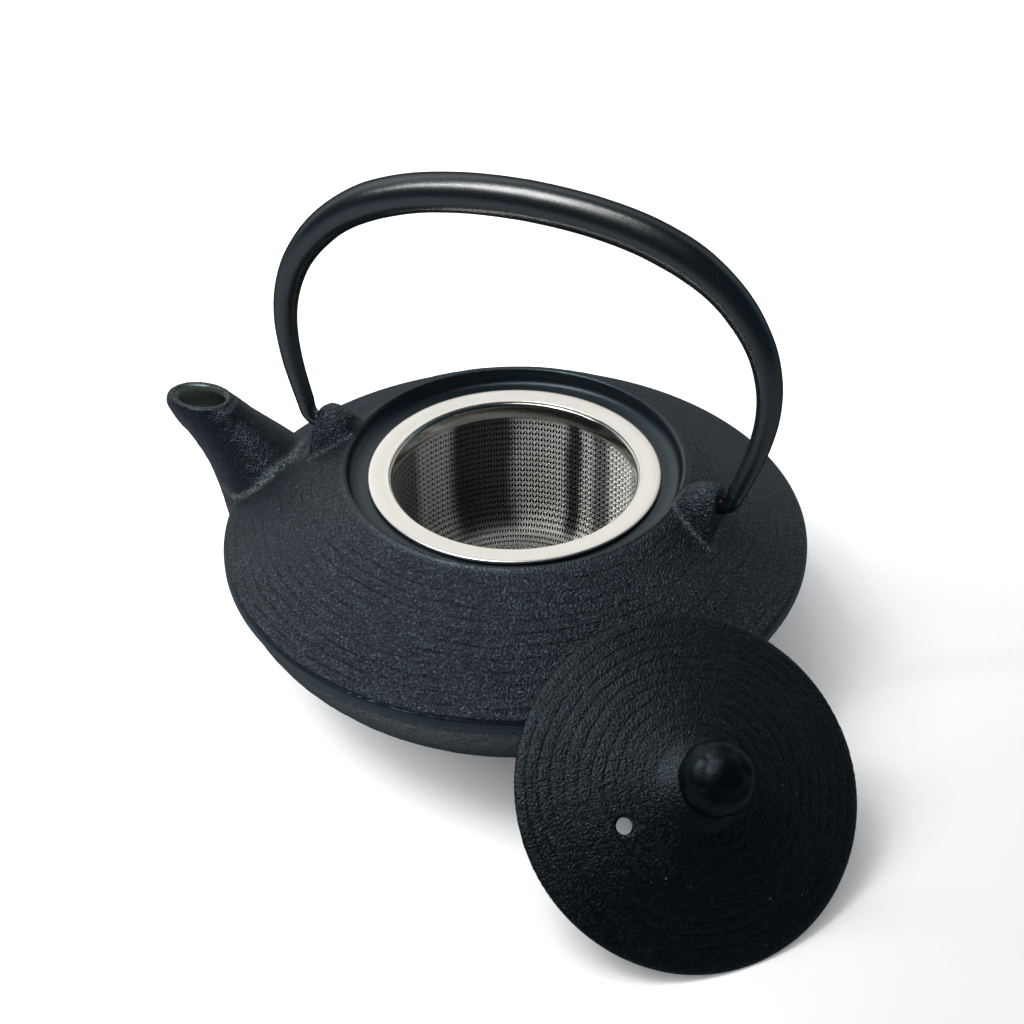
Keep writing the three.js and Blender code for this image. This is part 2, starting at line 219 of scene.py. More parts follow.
class Grid:
    """Dense distance field over a box."""

    def __init__(self, low, high, cell):
        self.cell = cell
        self.low = np.asarray(low, float)
        self.count = np.ceil((np.asarray(high, float) - self.low) / cell).astype(int) + 1
        self.axes = [start + cell * np.arange(n) for start, n in zip(self.low, self.count)]

    def coordinates(self):
        return np.meshgrid(*self.axes, indexing="ij", sparse=True)

    def revolve(self, profile, step=0.2):
        """Body turned from a profile, looked up in a table with radii step apart."""
        x, y, z = self.axes
        radius = np.hypot(x[:, None], y[None, :])
        radii = np.arange(-1, radius.max() + 1, step)
        # mirrored in the axis, so that the axis itself is no wall
        profile = np.asarray(profile, float)
        mirrored = np.vstack([profile, (profile * [-1, 1])[::-1]])
        table = polygon_distance(mirrored, *np.meshgrid(radii, z, indexing="ij"))
        field = np.empty(self.count, np.float32)
        for k in range(self.count[2]):
            field[:, :, k] = np.interp(radius.ravel(), radii, table[:, k]).reshape(radius.shape)
        return field

    def from_mesh(self, points, triangles, band):
        """Distance to a closed mesh, true within band mm of it."""
        level_set = openvdb.FloatGrid.createLevelSetFromPolygons(
            points=(np.asarray(points) - self.low).astype(np.float32),
            triangles=triangles.astype(np.uint32),
            transform=openvdb.createLinearTransform(voxelSize=self.cell),
            halfWidth=band / self.cell)
        field = np.empty(self.count, np.float32)
        level_set.copyToArray(field)
        return field

    def mesh(self, field, limit=4.0):
        """Points and quads of the zero surface."""
        volume = openvdb.FloatGrid(limit)
        volume.transform = openvdb.createLinearTransform(voxelSize=self.cell)
        clipped = np.clip(field, -limit, limit)
        volume.copyFromArray(np.ascontiguousarray(clipped, np.float32), tolerance=0.0)
        points, quads = volume.convertToQuads()
        return points.astype(float) + self.low, quads.astype(np.int64)

    def sample(self, field, points):
        """Values of a field at the points."""
        place = np.clip((points - self.low) / self.cell, 0, self.count - 1.001)
        cell = place.astype(int)
        fraction = (place - cell).astype(np.float32)
        return trilinear(cell, fraction, lambda x, y, z: field[x, y, z])

    def normals(self, field, points):
        """Outward unit normals, from differences half a cell either way."""
        normals = np.zeros_like(points)
        for k in range(3):
            offset = np.zeros(3)
            offset[k] = 0.5 * self.cell
            ahead = self.sample(field, points + offset)
            normals[:, k] = ahead - self.sample(field, points - offset)
        return normals / np.maximum(np.linalg.norm(normals, axis=1), 1e-9)[:, None]


# ---------------------------------------------------------------- Blender objects
def mesh_object(name, points, faces, attributes):
    """faces: an array of quads or triangles, or a list of such arrays."""
    mesh = bpy.data.meshes.new(name)
    metres = np.asarray(points, np.float32) * MM
    if isinstance(faces, np.ndarray):
        faces = [faces]
    loops = np.concatenate([block.reshape(-1) for block in faces]).astype(np.int32)
    sizes = np.concatenate([np.full(len(block), block.shape[1]) for block in faces])
    sizes = sizes.astype(np.int32)
    starts = np.concatenate([[0], np.cumsum(sizes)[:-1]]).astype(np.int32)
    mesh.vertices.add(len(metres))
    mesh.vertices.foreach_set("co", metres.reshape(-1))
    mesh.loops.add(len(loops))
    mesh.loops.foreach_set("vertex_index", loops)
    mesh.polygons.add(len(sizes))
    mesh.polygons.foreach_set("loop_start", starts)
    mesh.polygons.foreach_set("loop_total", sizes)
    mesh.update(calc_edges=True)
    mesh.validate()
    mesh.polygons.foreach_set("use_smooth", np.ones(len(mesh.polygons), bool))
    for key, values in attributes.items():
        values = np.asarray(values, np.float32)
        kind, field = ("FLOAT_VECTOR", "vector") if values.ndim == 2 else ("FLOAT", "value")
        mesh.attributes.new(key, kind, "POINT").data.foreach_set(field, values.reshape(-1))
    ob = bpy.data.objects.new(name, mesh)
    bpy.context.scene.collection.objects.link(ob)
    return ob


def piece(name, points, faces, attributes, material, rides, replaces=None,
          face_outwards=False, sharp_degrees=None):
    ob = mesh_object(name, points, faces, attributes)
    if face_outwards:
        edited = bmesh.new()
        edited.from_mesh(ob.data)
        bmesh.ops.recalc_face_normals(edited, faces=edited.faces)
        edited.to_mesh(ob.data)
        edited.free()
    if sharp_degrees:
        ob.data.set_sharp_from_angle(angle=math.radians(sharp_degrees))
    ob.data.materials.append(material)
    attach(ob, rides)
    if replaces:
        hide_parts(replaces)


# ---------------------------------------------------------------- shader graphs
def operator(operation, swapped=False):
    def apply(self, other):
        values = (other, self) if swapped else (self, other)
        return self.graph.math(operation, *values)
    return apply


class Socket:
    """A node's output, used like a number: each operator adds one Math node."""

    def __init__(self, graph, output):
        self.graph, self.output = graph, output

    __add__, __radd__ = operator("ADD"), operator("ADD", swapped=True)
    __sub__, __rsub__ = operator("SUBTRACT"), operator("SUBTRACT", swapped=True)
    __mul__, __truediv__ = operator("MULTIPLY"), operator("DIVIDE")
    __lt__, __gt__ = operator("LESS_THAN"), operator("GREATER_THAN")

    def sibling(self, key):
        """Another output of the same node."""
        return Socket(self.graph, self.output.node.outputs[key])

    def ramp(self, start, end, to=(0.0, 1.0)):
        """Smooth step between start and end, mapped onto the two values of to."""
        return self.graph.add(
            "MapRange", "Result", interpolation_type="SMOOTHSTEP", Value=self,
            From_Min=start, From_Max=end, To_Min=to[0], To_Max=to[1])


class Graph:
    """Node tree of a material or world; place is the coordinate its textures use."""

    def __init__(self, owner, kind, output, **settings):
        owner.use_nodes = True
        self.owner = owner
        self.tree = owner.node_tree
        self.place = self.add(kind, output, **settings)

    def put(self, node_input, value):
        if isinstance(value, Socket):
            self.tree.links.new(value.output, node_input)
        elif node_input.type == "RGBA":
            node_input.default_value = (*value, 1)
        else:
            node_input.default_value = value

    def fill(self, node, **settings):
        """Set inputs, written with _ for each space, and other properties of a node."""
        for key, value in settings.items():
            name = key.replace("_", " ")
            if name in node.inputs:
                self.put(node.inputs[name], value)
            else:
                setattr(node, key, value)

    def add(self, kind, output=0, at=None, **settings):
        """New node; at holds the inputs set by number."""
        node = self.tree.nodes.new("ShaderNode" + kind)
        self.fill(node, **settings)
        for index, value in (at or {}).items():
            self.put(node.inputs[index], value)
        return Socket(self, node.outputs[output])

    def math(self, operation, *values, clamp=False):
        return self.add("Math", operation=operation, use_clamp=clamp, at=dict(enumerate(values)))

    def rest(self, value):
        """1 - value, kept within 0..1."""
        return self.math("SUBTRACT", 1.0, value, clamp=True)

    def attribute(self, name):
        return self.add("Attribute", "Fac", attribute_name=name)

    def noise(self, scale, detail=3.0, rough=0.55, place=None, output="Fac"):
        return self.add("TexNoise", output, Scale=scale, Detail=detail, Roughness=rough,
                        Vector=place or self.place)

    def mix(self, factor, first, second, blend="MIX"):
        return self.add("Mix", 2, data_type="RGBA", blend_type=blend,
                        at={0: factor, 6: first, 7: second})

    def bump(self, height, depth_mm, strength=1.0, **under):
        return self.add("Bump", "Normal", Distance=depth_mm * MM, Strength=strength,
                        Height=height, **under)

    def scaled(self, vector, factor):
        return self.add("VectorMath", operation="SCALE", Scale=factor, at={0: vector})

    def along(self, direction):
        return self.add("VectorMath", "Value", operation="DOT_PRODUCT",
                        at={0: self.place, 1: direction})

    def surface(self, **settings):
        self.fill(self.tree.nodes["Principled BSDF"], **settings)
        return self.owner

    def facing(self):
        """0 where the surface faces the view, 1 at its outline."""
        return self.add("LayerWeight", "Facing", Blend=0.5)

    def dull(self, amount, color):
        """Cover the surface by amount with a matt one."""
        glossy = Socket(self, self.tree.nodes["Principled BSDF"].outputs[0])
        matt = self.add("BsdfDiffuse", Color=color)
        mixed = self.add("MixShader", at={0: amount, 1: glossy, 2: matt})
        self.fill(self.tree.nodes["Material Output"], Surface=mixed)


def piece_graph(name):
    """Material that is textured in the piece's own coordinates, in mm."""
    return Graph(bpy.data.materials.new(name), "Attribute", "Vector", attribute_name="lc")


def shade(color, factor):
    return tuple(c * factor for c in color)


# ---------------------------------------------------------------- materials
def cast_iron(name, base, lit, tint, depth, rings, grain_mm=0.55, ring_mm=2.4,
              gloss=0.36, level=0.42, pits=0.0):
    """Sand-cast iron with concentric brush grooves.

    base, lit, tint: colours of hollows, crests and large clouds. depth: strength of the relief;
    rings: of the grooves. gloss: roughness; level: specular; pits: its contrast in the grain.
    Vertex values: smooth, enamel and wear_and_sheen 0..1 (wear, and a painted sheen beside the
    spout), rw wavering radius in mm, turn groove strength, calm where the skin is duller, low on
    the underside, where painted light makes the grain paler.
    """
    graph = piece_graph(name)
    noise, mix = graph.noise, graph.mix
    smooth, enamel, wear_and_sheen, wavering, turned, calm, low = map(
        graph.attribute, ("smooth", "enamel", "wear_and_sheen", "rw", "turn", "calm", "low"))

    # sand grain: pebbly cells with finer noise between them
    drift = graph.scaled(noise(scale=2.6, detail=1.0, rough=0.5, output="Color"), 0.35)
    warped = graph.add("VectorMath", operation="ADD", at={0: graph.place, 1: drift})
    pebble = 1.0 - graph.add("TexVoronoi", "Distance", feature="SMOOTH_F1",
                             Scale=1.0 / grain_mm, Smoothness=0.6, Vector=warped)
    patch = noise(scale=0.22, detail=2.0, rough=0.6).ramp(0.3, 0.7, to=(0.88, 1.08))
    middle = noise(scale=0.9 / grain_mm, detail=2.0, rough=0.6)
    fine = noise(scale=2.3 / grain_mm, detail=1.0, rough=0.5)
    grain = pebble * 0.55 + (middle * 1.0 + fine * 0.4)

    # thin grooves left by the brush, broken by the grain
    across = graph.math("FRACT", wavering / ring_mm)
    ridge = graph.math("ABSOLUTE", across * 2.0 - 1.0)
    ragged = ridge + (noise(scale=0.8, detail=2.0, rough=0.6) - 0.5) * 0.35
    groove = ragged.ramp(0.68, 1.0) * turned

    # relief of the rough skin, then a faint one on the smooth parts
    rough_part = graph.rest(graph.math("MAXIMUM", smooth, enamel))
    height = grain * patch * 0.55 - groove * (0.17 * rings)
    height = height + across * turned * (0.07 * rings)
    height = height * (1.0 - calm * 0.62)
    normal = graph.bump(height * rough_part, depth_mm=0.5 * depth)
    small = noise(scale=7.0, detail=2.0, rough=0.5)
    normal = graph.bump(small * (smooth * graph.rest(enamel)), depth_mm=0.05, strength=0.6,
                        Normal=normal)

    # colour: grain, clouds, grooves, and painted light on the underside
    color = mix(grain.ramp(0.7, 1.25), base, lit)
    cloud = noise(scale=0.06, detail=2.0, rough=0.5).ramp(0.35, 0.7)
    color = mix(cloud, color, mix(0.5, color, tint))
    color = mix(groove * (0.4 * rings), color, shade(base, 0.4))
    # painted light: the underside's grain is paler, as if lit from the front
    underside = mix((middle + fine * 0.5).ramp(0.6, 0.9),
                    (0.009, 0.009, 0.0095), (0.056, 0.053, 0.055))
    color = mix(low, color, underside)
    # wear on edges and creases, and a painted sheen on the shoulder beside the spout: paler
    # colour
    pale_wear_and_sheen = wear_and_sheen * noise(scale=1.3, detail=4.0, rough=0.65).ramp(0.42, 0.6)
    color = mix(pale_wear_and_sheen, color, (0.135, 0.145, 0.13))
    # scattered pale specks of sand and dust
    dots = graph.add("TexVoronoi", "Distance", Scale=0.34, Vector=graph.place)
    speck = (dots < 0.06) * (noise(scale=0.21, detail=1.0) > 0.58)
    color = mix(speck * (rough_part * 0.4), color, (0.16, 0.165, 0.17))
    # smooth iron, then enamel
    color = mix(smooth, color, (base[0] * 0.8, base[1] * 0.95, base[2] * 1.05))
    color = mix(enamel, color, (0.026, 0.032, 0.026))

    roughness = gloss + (noise(scale=2.2, detail=3.0) - 0.5) * 0.2
    roughness = mix(smooth * 0.6, roughness, (0.34, 0.34, 0.34))
    roughness = mix(enamel, roughness, (0.13, 0.13, 0.13))

    # crests of the grain catch the light, pits keep it
    specular = level - groove * (level * 0.6 * rings)
    specular = specular * (1.0 - (calm * 0.52 + low * 0.35))
    raised = middle * 0.55 + pebble * 0.60
    crest = raised.ramp(0.56, 0.88, to=(1.0 - pits, 1.0 + pits)) - 1.0
    crest = crest * (rough_part * (1.0 - calm * 0.6))
    specular = specular * ((crest + 1.0) - smooth * 0.25)
    specular = specular + enamel * 0.35

    # at grazing angles the grains hide each other, so the sheen dies away
    grazing = graph.facing().ramp(0.45, 0.95, to=(0.0, 0.62))
    graph.dull(grazing * graph.rest(enamel), shade(base, 3))
    return graph.surface(
        Base_Color=color, Roughness=roughness, Metallic=0.0, Specular_IOR_Level=specular,
        Specular_Tint=(0.66, 0.86, 0.99), Normal=normal)


def satin_paint(name, color, rough, wear=False):
    """Dark paint with faint orange peel and dust; wear bares metal where wear_and_sheen is set.
    """
    graph = piece_graph(name)
    cloud = graph.noise(scale=0.05, detail=2.0)
    dust = graph.noise(scale=6.0, detail=3.0, rough=0.6)
    peel = graph.noise(scale=1.1, detail=2.0, rough=0.5)
    painted = graph.mix(cloud.ramp(0.3, 0.7), color, shade(color, 1.35))
    metal = 0.0
    if wear:
        metal = graph.attribute("wear_and_sheen") * graph.noise(
            scale=2.2, detail=4.0, rough=0.7).ramp(0.5, 0.58)
        painted = graph.mix(metal, painted, (0.42, 0.38, 0.33))
    graph.dull(graph.facing().ramp(0.28, 0.75, to=(0.0, 0.85)), shade(color, 1.4))
    return graph.surface(
        Base_Color=painted, Metallic=metal, Specular_IOR_Level=1.0,
        Roughness=rough + ((peel - 0.5) * 0.10 + (dust - 0.5) * 0.12),
        Specular_Tint=(0.93, 0.96, 0.97),
        Normal=graph.bump(peel * 0.7 + dust * 0.08, depth_mm=0.03, strength=0.7))


def painted_reflection_bands(graph, radius, angle, reflection_bands):
    """Painted reflections of the windows: lighter and darker bands down the wall by the angle
    round the cup, fading to even grey on the bottom.
    """
    turns = angle / (2 * math.pi) + 1.0
    turns = turns + (graph.noise(scale=0.06, detail=2.0) - 0.5) * 0.02
    shades = graph.add("ValToRGB", at={0: graph.math("FRACT", turns)})
    color_ramp = shades.output.node.color_ramp
    color_ramp.interpolation = "EASE"
    stops = color_ramp.elements
    for i, (degrees, grey) in enumerate(reflection_bands):
        stop = stops[i] if i < 2 else stops.new(1.0)
        stop.position = degrees / 360.0
        stop.color = (grey, grey, grey, 1)
    return graph.mix(radius.ramp(25.0, 29.6), (0.55, 0.55, 0.55), shades)


def steel(name, color, rough, mark_scale=7.0, mark_depth=0.01, metal=1.0, reflection_bands=None):
    """Bright steel with fine turned marks round the axis. reflection_bands: (degrees, grey)
    pairs, painted window reflections round the cup.
    """
    graph = piece_graph(name)
    x = graph.add("SeparateXYZ", "X", Vector=graph.place)
    y, z = x.sibling("Y"), x.sibling("Z")
    radius = graph.math("SQRT", x * x + y * y)
    angle = graph.math("ARCTAN2", y, x)
    stretched = graph.add("CombineXYZ", X=radius * mark_scale, Y=angle * 1.2, Z=z * mark_scale)
    marks = graph.noise(scale=1.0, detail=3.0, rough=0.6, place=stretched)
    cloud = graph.noise(scale=0.12, detail=3.0, rough=0.6)
    stain = graph.noise(scale=0.35, detail=4.0, rough=0.7).ramp(0.56, 0.75)
    stained = graph.mix(stain * 0.3, color, shade(color, 0.72))
    if reflection_bands:
        # painted reflections: the wire colour is lightened and darkened in bands round the cup
        shading = painted_reflection_bands(graph, radius, angle, reflection_bands)
        stained = graph.mix(1.0, stained, shading, blend="MULTIPLY")
    clouded = rough + (cloud - 0.5) * 0.12
    return graph.surface(
        Base_Color=stained, Metallic=metal,
        Roughness=graph.math("ADD", clouded, (marks - 0.5) * 0.16, clamp=True),
        Normal=graph.bump(marks, depth_mm=mark_depth, strength=0.5))


# degrees round the cup from +X, and how bright the weave is there: painted reflections of the
# windows
WIRE_REFLECTION_BANDS = [
    (0, 0.5), (34, 0.6), (41, 1.38), (56, 1.38), (62, 0.36), (68, 0.4), (72, 1.15), (76, 1.1),
    (79, 0.10), (83, 0.10), (88, 1.15), (107, 1.0), (116, 0.14), (139, 0.11), (147, 1.15),
    (160, 1.05), (168, 0.32), (200, 0.4), (359, 0.5)]

POT_IRON = cast_iron(
    "pot_iron", base=(0.0012, 0.0026, 0.0038), lit=(0.0046, 0.0050, 0.0068),
    tint=(0.0030, 0.0036, 0.0048), depth=1.65, rings=0.65, grain_mm=0.57, gloss=0.34,
    level=0.95, pits=0.64)
LID_IRON = cast_iron(
    "lid_iron", base=(0.0001, 0.0003, 0.0005), lit=(0.0003, 0.0006, 0.0008),
    tint=(0.0002, 0.0005, 0.0007), depth=0.85, rings=0.6, grain_mm=0.54, ring_mm=2.7,
    gloss=0.37, level=0.47, pits=0.26)
KNOB_IRON = cast_iron(
    "knob_iron", base=(0.0002, 0.0006, 0.0009), lit=(0.0006, 0.0010, 0.0013),
    tint=(0.0004, 0.0008, 0.0011), depth=0.22, rings=0.0, gloss=0.44, level=0.22)
WASHER_IRON = cast_iron(
    "washer_iron", base=(0.01, 0.011, 0.012), lit=(0.015, 0.0155, 0.016),
    tint=(0.012, 0.0125, 0.013), depth=0.2, rings=0.0)
HANDLE_PAINT = satin_paint("handle_paint", color=(0.0005, 0.0026, 0.0040), rough=0.29)
HOOK_PAINT = satin_paint("hook_paint", color=(0.0008, 0.0028, 0.0042), rough=0.24, wear=True)
RIM_STEEL = steel("rim_steel", color=(0.93, 0.91, 0.865), rough=0.31)
COLLAR_STEEL = steel("collar_steel", color=(0.60, 0.585, 0.55), rough=0.17, mark_scale=3.0,
                     mark_depth=0.004)
WIRE_STEEL = steel("wire_steel", color=(0.72, 0.715, 0.69), rough=0.32, mark_depth=0.0004,
                   metal=0.62, reflection_bands=WIRE_REFLECTION_BANDS)

# ---------------------------------------------------------------- pot casting
# outside profiles: radius, z
DOME = [[41.9, 57.2], [44.5, 55.7], [47, 54.15], [52.4, 50.6], [58, 46.75], [63, 43.1],
        [68, 39.5], [72.15, 36.95]]
BOWL = [[38.6, 1.6], [42, 3.0], [46, 4.9], [50, 7.2], [53.5, 9.6], [56.8, 12.15], [60.6, 15.6],
        [64, 19.3], [67, 23.4], [69.4, 27.8], [71.1, 32.1], [71.6, 33.9]]
# inside profiles: radius, z
INNER_BOWL = [[33, 4.7], [38.5, 6.1], [44.5, 8.6], [52.4, 13.2], [58.4, 18.5], [63.6, 24.8],
              [67.3, 31.4]]
INNER_DOME = [[68.6, 34.6], [67.6, 36.4], [58, 43.3], [50.5, 48], [46, 49.9], [34.2, 49.9],
              [33, 50.8], [33, 52.9], [33.4, 53.3]]
RECESS = [[38.2, 53.3], [39.8, 53.75], [40.7, 54.9], [40.95, 56.4]]
# spout and its bore: x, z, direction in XZ (degrees), half-width along it, half-width along Y
SPOUT = [
    (-86.1, 57.0, 180, 7.9, 5.6), (-86.1, 56.5, 181, 8.7, 6.2), (-86.0, 55.3, 186, 9.3, 6.6),
    (-84.5, 53.3, 199, 9.0, 6.9), (-82.0, 51.1, 212, 8.4, 7.4), (-79.2, 48.2, 219, 8.6, 8.3),
    (-76.2, 45.2, 222, 9.6, 9.4), (-73.4, 41.9, 224, 10.9, 10.8),
    (-70.6, 38.2, 225, 12.5, 12.6), (-67.4, 34.0, 226, 14.4, 14.9),
    (-63.6, 29.6, 226, 15.6, 16.6)]
BORE = [
    (-85.7, 61.0, 180, 8.3, 6.0), (-85.7, 58.4, 180, 7.2, 4.9), (-85.7, 57.0, 180, 6.5, 4.2),
    (-85.4, 55.4, 186, 6.0, 4.1), (-84.3, 52.9, 200, 5.9, 4.85), (-81.6, 50.4, 212, 5.6, 5.3),
    (-78.5, 47.6, 219, 5.8, 5.8), (-75.4, 44.4, 222, 6.3, 6.3), (-70.2, 38.2, 225, 7.2, 7.4),
    (-62.0, 29.0, 226, 8.0, 8.4)]
# lugs by side along X: distance from the axis, top z, half-width along Y
LUGS = {
    1: [(41.2, 57.9, 1.8), (42.2, 59.2, 3.6), (43.6, 60.7, 5.1), (45.4, 62.0, 6.3),
        (47.6, 62.9, 7.2), (50, 63.2, 7.8), (52.3, 62.6, 8.0)],
    -1: [(41.2, 57.7, 1.8), (42.2, 58.8, 3.6), (43.6, 60.2, 5.1), (45.4, 61.4, 6.3),
         (47.4, 62.2, 7.2), (49.4, 62.3, 7.9), (51.2, 61.4, 8.2), (52.3, 60.4, 8.1)]}


def dome_height(radius):
    return np.interp(radius, *np.array(DOME).T)


def lug_mesh(side):
    angle = np.linspace(0, np.pi, 49)
    cosine, sine = np.cos(angle), np.sin(angle)
    rings = []
    for x, top, half_width in curve_through(LUGS[side], 6):
        foot = dome_height(max(x, 42.5)) - 2.6
        y = half_width * np.sign(cosine) * np.abs(cosine) ** 0.92 * (1 - 0.26 * sine)
        z = foot + (top - foot) * sine**0.85
        rings.append(np.stack([np.full_like(angle, side * x), side * y, z], -1))
    return lofted(rings)


def pot_fields():
    """The grid and the distance fields of the whole pot, its hollow, spout and lugs."""
    grid = Grid((-99, -76, -2), (76, 76, 68), 0.44)
    belt = [[BAND_R - 0.15, BAND_LOW], [BAND_R, BAND_LOW + 0.25],
            [BAND_R, BAND_HIGH - 0.35], [BAND_R - 0.12, BAND_HIGH - 0.05]]
    outside = np.vstack([
        [[0, 0], [37.4, 0], [38.2, 0.5]], curve_through(BOWL, 6), belt,
        curve_through(DOME, 6)[::-1], [[41.55, 57.5], [41.2, 57.6], [0, 57.6]]])
    spout = grid.from_mesh(*elliptic_pipe(SPOUT, 5, 56), band=9.0)
    lugs = np.minimum(*(grid.from_mesh(*lug_mesh(side), band=5.0) for side in LUGS))
    body = union(grid.revolve(outside), spout, 2.2)
    body = union(body, lugs, 1.7)

    # hollow with the mouth recess and its ledge, open at the top, joined by the spout's bore
    inside = np.vstack([
        [[0, 4.2]], curve_through(INNER_BOWL, 4), INNER_DOME, curve_through(RECESS, 4),
        [[41.2, 57.3], [42.6, 59.5], [42.6, 66], [0, 66]]])
    bore = grid.from_mesh(*elliptic_pipe(BORE, 5, 40), band=7.0)
    cavity = union(grid.revolve(inside), bore, 3.0)
    x, y, z = grid.coordinates()
    # the edge is rounder at the spout's mouth
    body = cut(body, cavity, 0.7 + 1.0 * fade(-76, -80, x) * fade(52, 54, z))

    # pin holes in the lugs, along X
    pin = np.sqrt(y**2 + (z - PIVOT_Z) ** 2) - PIN_HOLE_R
    pin = np.maximum(np.maximum(pin, 46.3 - np.abs(x)), np.abs(x) - 66)
    body = cut(body, pin, 0.5)
    return grid, np.maximum(body, -z), cavity, spout, lugs  # flat underside


def make_pot():
    grid, body, *parts = pot_fields()
    points, quads = grid.mesh(body)
    x, y, z = points.T
    radius = np.hypot(x, y)
    from_cavity, from_spout, from_lugs = (grid.sample(part, points) for part in parts)
    off_dome = np.abs(z - dome_height(radius))

    # smooth and enamelled regions
    inner = fade(0.9, 0.25, from_cavity)
    off_belt = np.abs(z - (BAND_LOW + BAND_HIGH) / 2) - (BAND_HIGH - BAND_LOW) / 2
    belt = fade(0.5, 0.1, off_belt) * fade(71.2, 71.9, radius) * fade(0.5, 1.6, from_spout)
    near_mouth = fade(50.2, 51.5, z) * fade(46, 43.5, radius)
    lip = fade(1.6, 0.4, np.abs(radius - 41.9)) * fade(55.8, 56.6, z)
    foot = fade(0.35, 0.1, z)
    smooth = np.maximum.reduce([belt, inner * near_mouth, lip * 0.6, foot * 0.5])
    smooth = np.clip(smooth, 0, 1)
    enamel = inner * (1 - near_mouth)

    # pale lines where spout and lugs meet the shoulder, and on the spout's lip; a painted sheen
    # on the shoulder between spout and lug
    spout_root = bell(from_spout, 0.55, 0.6) * fade(1.6, 0.3, off_dome) * (x < -55) * (y < 4)
    lug_root = bell(from_lugs, 0.45, 0.55) * fade(1.4, 0.3, off_dome) * (y < 0)
    spout_lip = fade(1.3, 0.2, np.abs(from_cavity - 0.45)) * fade(54.2, 55.7, z) * (x < -72)
    spout_lip = spout_lip * (0.35 + 0.65 * fade(-83, -88, x))
    # painted sheen: a pale patch on the shoulder between spout and lug, where light grazes it
    shoulder_painted_sheen = 0.5 * np.exp(-((x + 58.0) ** 2 + (y + 3.5) ** 2) / 12.0) * fade(1.6, 0.3, off_dome)
    wear_and_sheen = np.maximum.reduce([spout_root * 0.6, lug_root * 0.17, spout_lip, shoulder_painted_sheen])
    wear_and_sheen = np.clip(wear_and_sheen, 0, 1)
    smooth = np.maximum(smooth, spout_lip * 0.9)

    # brush lines on the dome and, fainter, on the underside
    rough = (1 - np.maximum(smooth, enamel)) * fade(0.2, 1.2, z)
    wavering = waver(radius, points, (0.50, 19.0, 3), (0.22, 6.0, 4))
    low = fade(33.5, 31, z)
    turned = fade(0.6, 3.0, from_spout) * fade(1.4, 0.5, off_dome) * fade(0.3, 1.5, from_lugs)
    turned = (turned + 0.4 * low) * fade(-0.45, 0.25, noise(points, size=8.0, seed=5))
    turned = turned * fade(1.0, 2.5, np.hypot(radius - 42, z - 57))
    calm = np.maximum(fade(1.2, 0.3, from_spout) * (x < -50), 0.2 * fade(1.2, 0.3, from_lugs))

    # relief: sand grain and terraces between the brush lines, on the rough outside only
    across = np.mod(wavering / 2.4, 1.0)
    terrace = 0.5 - np.abs(across - 0.5) ** 3 * 8 * 0.9
    relief = waver(0, points, (0.045, 1.0, 1), (0.045, 1.9, 2))
    relief = waver(relief + 0.04 * (terrace - 0.3) * turned, points, (0.05, 9.0, 6))
    near_parts = fade(1.5, 0.2, np.minimum(from_spout, from_lugs))
    relief = relief + 0.03 * noise(points, size=1.3, seed=7) * near_parts
    points = points + grid.normals(body, points) * (relief * rough)[:, None]
    points[:, 2] = np.maximum(points[:, 2], 0.0)
    piece("pot_casting", points, quads,
          dict(lc=points, smooth=smooth, enamel=enamel, wear_and_sheen=wear_and_sheen, rw=wavering, turn=turned,
               calm=calm, low=low * rough),
          POT_IRON, rides="pot", replaces="pot_body")


# ---------------------------------------------------------------- lid
# profiles in the lid's own frame: radius, z
LID_TOP = [[5.0, 12.4], [6.4, 11.85], [8.2, 10.85], [9.8, 9.85], [11.2, 9.15], [14, 8.3],
           [20, 6.5], [26, 4.7], [32, 2.8], [37.5, 1.15], [39.8, 0.4]]
LID_EDGE = [[40.25, 0.15], [LID_R, -0.25], [40.35, -0.75], [39.7, -1.35], [38.6, -1.7]]
LID_FLANGE = [[29.8, -1.7], [29.5, -2.0], [29.5, -5.0], [29.2, -5.35], [27.3, -5.4],
              [27, -5.0], [27, 0.6]]
LID_UNDERSIDE = [[25.6, 1.7], [14, 5.2], [9, 6.3]]
# coarse line of the top, that tells the outside from the underside: radii, heights
LID_OUTSIDE = ([5, 6.4, 8.2, 9.8, 11.2, 14, 20, 32, 40.5],
               [12.4, 11.85, 10.85, 9.85, 9.15, 8.3, 6.5, 2.8, 0.0])
KNOB_STEM = [[0, 3.5], [1.4, 3.5], [2.6, 3.6], [3.25, 4.1], [3.15, 4.7], [1.95, 4.8],
             [1.9, 5.4], [1.9, 12.6], [2.2, 12.75]]
KNOB_BUD = [[4.5, 12.75], [4.7, 13.4], [5.2, 14.3], [6.3, 15.5], [7.5, 17.1], [8.25, 19.1],
            [8.4, 21.2], [7.95, 23.4], [6.5, 25.6], [4.2, 27.1], [1.9, 27.9], [0.0, 28.1]]
# rows of petals: latitude in degrees, how many, turn in petals
PETAL_ROWS = [(72, 3, 0.55), (34, 5, 0.1), (2, 8, 0.35), (-34, 8, 0.85)]
WASHER = [[2.3, 5.12], [5.7, 5.1], [6.15, 5.25], [6.4, 5.6], [6.4, 5.95], [6.2, 6.22],
          [2.3, 6.25]]


def lid_axes():
    """The lid's own X, Y and Z axes as rows."""
    up = np.array([math.cos(LID_RISE) * math.sin(LID_TURN),
                   -math.cos(LID_RISE) * math.cos(LID_TURN), math.sin(LID_RISE)])
    side = np.cross([0, 0, 1.0], up)
    side /= np.linalg.norm(side)
    return np.stack([side, np.cross(up, side), up])


def lid_piece(name, local, faces, smooth, material, replaces, slot, **attributes):
    """Piece given in the lid's own frame."""
    plain = np.zeros(len(local))
    values = dict(lc=local, smooth=smooth + plain, enamel=plain, wear_and_sheen=plain, **attributes)
    piece(name, local @ lid_axes() + LID_CENTRE, faces, values, material,
          rides="lid", replaces=replaces)


